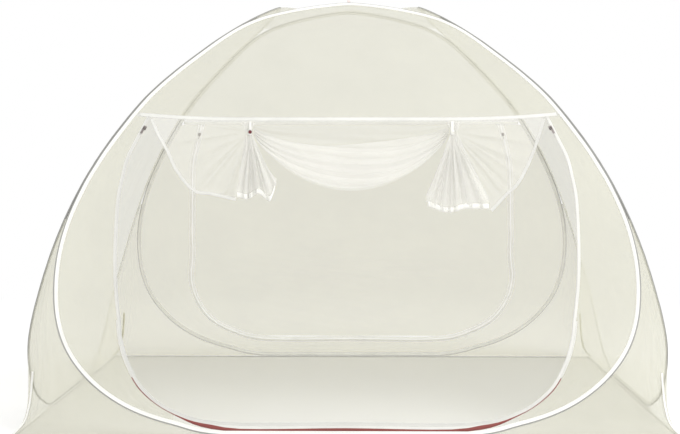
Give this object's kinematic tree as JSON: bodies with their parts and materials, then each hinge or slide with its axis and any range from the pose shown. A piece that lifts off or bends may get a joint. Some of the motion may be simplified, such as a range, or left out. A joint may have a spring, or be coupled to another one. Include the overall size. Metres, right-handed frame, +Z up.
{
  "type": "pop-up mosquito net tent",
  "caption": "Free-standing pop-up mosquito net tent: sprung hoops in white binding carry white net, with the front door gathered up and tied, a closed back door and a base sheet.",
  "frame": {"origin": "centre of the base on the floor", "axes": "+Z up, front door towards -Y, +X to the right as seen from the front"},
  "size_m": [2.0072, 1.8072, 1.3801],
  "materials": {
    "net_white": "fine open white mesh, semi-transparent",
    "binding_white": "woven white binding tape",
    "zip_white": "white coil zip on woven tape",
    "rose_band": "muted rose binding",
    "spring_steel": "bright drawn wire",
    "zinc_alloy": "satin die-cast metal",
    "button_red": "dark red button"
  },
  "bodies": {
    "tent": {"back_door_net": "net_white", "back_door_seam_tape": "binding_white", "back_hoop_ferrule": "spring_steel", "back_hoop_sleeve": "binding_white", "back_hoop_wire": "spring_steel", "back_left_corner_net": "net_white", "back_left_corner_tape": "binding_white", "back_right_corner_net": "net_white", "back_right_corner_tape": "binding_white", "back_surround_net": "net_white", "back_upper_net": "net_white", "back_zip_door_tape": "zip_white", "back_zip_surround_tape": "zip_white", "base_hem": "binding_white", "base_net": "net_white", "front_door_seam_tape": "binding_white", "front_hoop_ferrule": "spring_steel", "front_hoop_sleeve": "binding_white", "front_hoop_wire": "spring_steel", "front_left_corner_net": "net_white", "front_left_corner_tape": "binding_white", "front_left_net": "net_white", "front_right_corner_net": "net_white", "front_right_corner_tape": "binding_white", "front_right_net": "net_white", "front_threshold_band": "rose_band", "front_upper_net": "net_white", "front_zip_fixed_tape": "zip_white", "left_hoop_ferrule": "spring_steel", "left_hoop_sleeve": "binding_white", "left_hoop_wire": "spring_steel", "left_wall_net": "net_white", "right_hoop_ferrule": "spring_steel", "right_hoop_sleeve": "binding_white", "right_hoop_wire": "spring_steel", "right_wall_net": "net_white", "roof_net": "net_white"},
    "front_door": {"front_door_left_side": "net_white", "front_door_left_tie": "binding_white", "front_door_left_zip_tape": "zip_white", "front_door_right_side": "net_white", "front_door_right_tie": "binding_white", "front_door_right_zip_tape": "zip_white", "front_door_swag": "net_white", "front_door_tie_button": "button_red", "front_door_tie_knot": "binding_white"},
    "hanging_loop": {"hanging_loop": "binding_white"},
    "front_left_slider": {"front_left_slider": "zinc_alloy"},
    "front_left_slider_pull": {"front_left_slider_pull": "zinc_alloy"},
    "front_right_slider": {"front_right_slider": "zinc_alloy"},
    "front_right_slider_pull": {"front_right_slider_pull": "zinc_alloy"},
    "back_left_slider": {"back_left_slider": "zinc_alloy"},
    "back_left_slider_pull": {"back_left_slider_pull": "zinc_alloy"},
    "back_right_slider": {"back_right_slider": "zinc_alloy"},
    "back_right_slider_pull": {"back_right_slider_pull": "zinc_alloy"}
  },
  "joints": [
    {"name": "front_door_swing", "type": "hinge", "parent": "tent", "child": "front_door", "pos_m": [0, -0.60234, 0.94465], "axis": [1, 0, 0], "range_deg": [-25, 25]},
    {"name": "front_left_slider_travel", "type": "slide", "parent": "tent", "child": "front_left_slider", "axis": [-0.3381, -0.5064, -0.7932], "range_m": [0, 0.093]},
    {"name": "front_left_slider_pull_flip", "type": "hinge", "parent": "front_left_slider", "child": "front_left_slider_pull", "pos_m": [-0.63674, -0.61994, 0.92559], "axis": [-0.9411, 0.1819, 0.285], "range_deg": [0, 165]},
    {"name": "front_right_slider_travel", "type": "slide", "parent": "tent", "child": "front_right_slider", "axis": [0.3381, -0.5064, -0.7932], "range_m": [0, 0.093]},
    {"name": "front_right_slider_pull_flip", "type": "hinge", "parent": "front_right_slider", "child": "front_right_slider_pull", "pos_m": [0.63674, -0.61994, 0.92559], "axis": [0.9411, 0.1819, 0.285], "range_deg": [-165, 0]},
    {"name": "back_left_slider_travel", "type": "slide", "parent": "tent", "child": "back_left_slider", "axis": [-0.2483, 0.5167, -0.8194], "range_m": [0, 0.112]},
    {"name": "back_left_slider_pull_flip", "type": "hinge", "parent": "back_left_slider", "child": "back_left_slider_pull", "pos_m": [-0.60138, 0.61955, 0.92531], "axis": [0.9687, 0.1325, -0.2101], "range_deg": [0, 165]},
    {"name": "back_right_slider_travel", "type": "slide", "parent": "tent", "child": "back_right_slider", "axis": [0.2483, 0.5167, -0.8194], "range_m": [0, 0.112]},
    {"name": "back_right_slider_pull_flip", "type": "hinge", "parent": "back_right_slider", "child": "back_right_slider_pull", "pos_m": [0.60138, 0.61955, 0.92531], "axis": [-0.9687, 0.1325, -0.2101], "range_deg": [-165, 0]},
    {"name": "hanging_loop_flop", "type": "hinge", "parent": "tent", "child": "hanging_loop", "pos_m": [0, -0.14955, 1.36307], "axis": [1, 0, 0], "range_deg": [-50, 50]}
  ]
}
